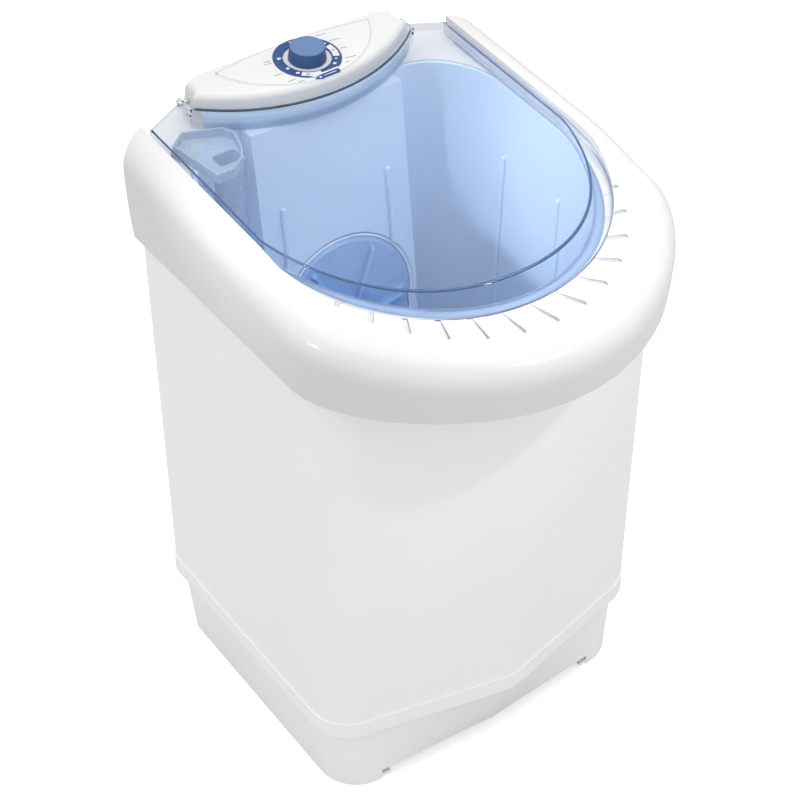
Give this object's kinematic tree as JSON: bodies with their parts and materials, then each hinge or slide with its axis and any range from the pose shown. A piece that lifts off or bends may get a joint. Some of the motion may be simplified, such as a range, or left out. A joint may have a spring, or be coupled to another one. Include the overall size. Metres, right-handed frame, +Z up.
{
  "type": "semi-automatic washing machine",
  "caption": "Compact top-loading washing machine with a clear hinged lid over a slanted blue tub, a timer knob on a crowned panel and a belt-driven impeller.",
  "frame": {"origin": "on the floor, at the middle of the footprint", "axes": "X to the right, Y to the back where the control panel is, Z up"},
  "size_m": [0.4166, 0.4784, 0.6884],
  "materials": {
    "shell_white": "glossy white moulded plastic",
    "tub_blue": "blue moulded plastic",
    "impeller_blue": "darker blue moulded plastic",
    "lid_clear": "clear blue-tinted plastic",
    "cup_clear": "cloudy blue-grey plastic",
    "overlay_white": "printed sheet",
    "dial_navy": "dark-blue plastic",
    "knob_blue": "blue plastic",
    "rubber_grey": "soft rubber",
    "black_plastic": "black plastic",
    "belt_rubber": "ribbed rubber belt",
    "steel": "bright steel",
    "painted_steel": "grey painted steel",
    "aluminium": "cast and formed aluminium",
    "bronze": "sintered bronze",
    "housing_grey": "grey engineering plastic"
  },
  "bodies": {
    "machine": {"cabinet": "shell_white", "base": "shell_white", "collar": "shell_white", "panel_housing": "shell_white", "rear_cover": "shell_white", "tub": "tub_blue", "dispenser_cup": "cup_clear", "panel_overlay": "overlay_white", "dial_ring": "dial_navy", "feet": "rubber_grey", "motor_mounts": "rubber_grey", "drain_grommet": "rubber_grey", "shaft_seal": "rubber_grey", "cable_gland": "black_plastic", "bearing_nut": "black_plastic", "timer": "black_plastic", "drive_belt": "belt_rubber", "hinge_pins": "steel", "tub_screws": "steel", "base_screws": "steel", "motor_screws": "steel", "rear_cover_screws": "steel", "panel_screws": "steel", "motor_stator": "painted_steel", "motor_bracket": "painted_steel", "motor_end_bells": "aluminium", "capacitor": "aluminium", "bushes": "bronze", "bearing_housing": "housing_grey", "drain_sump": "housing_grey", "drain_pipe": "housing_grey", "lint_grille": "housing_grey", "capacitor_clamp": "housing_grey"},
    "lid": {"lid": "lid_clear"},
    "timer_knob": {"timer_knob": "knob_blue", "timer_shaft": "steel"},
    "impeller_drive": {"impeller": "impeller_blue", "impeller_shaft": "steel", "driven_pulley": "black_plastic", "pulley_nut": "steel"},
    "motor_drive": {"motor_rotor": "steel", "motor_pulley": "aluminium"}
  },
  "joints": [
    {"name": "lid_hinge", "type": "hinge", "parent": "machine", "child": "lid", "pos_m": [0, 0.222, 0.65556], "axis": [-1, 0, 0], "range_deg": [0, 98]},
    {"name": "timer_turn", "type": "hinge", "parent": "machine", "child": "timer_knob", "pos_m": [0, 0.19754, 0.67332], "axis": [0, 0.0728, -0.9973], "range_deg": [0, 330]},
    {"name": "impeller_spin", "type": "hinge", "parent": "machine", "child": "impeller_drive", "pos_m": [0, 0.1367, 0.403], "axis": [0, 0.9929, -0.1191], "continuous": true},
    {"name": "motor_spin", "type": "hinge", "parent": "machine", "child": "motor_drive", "pos_m": [0, 0.11835, 0.2501], "axis": [0, 0.9929, -0.1191], "continuous": true}
  ],
  "couplings": [
    {"joint": "motor_spin", "follows": "impeller_spin", "ratio": 3.7333}
  ]
}
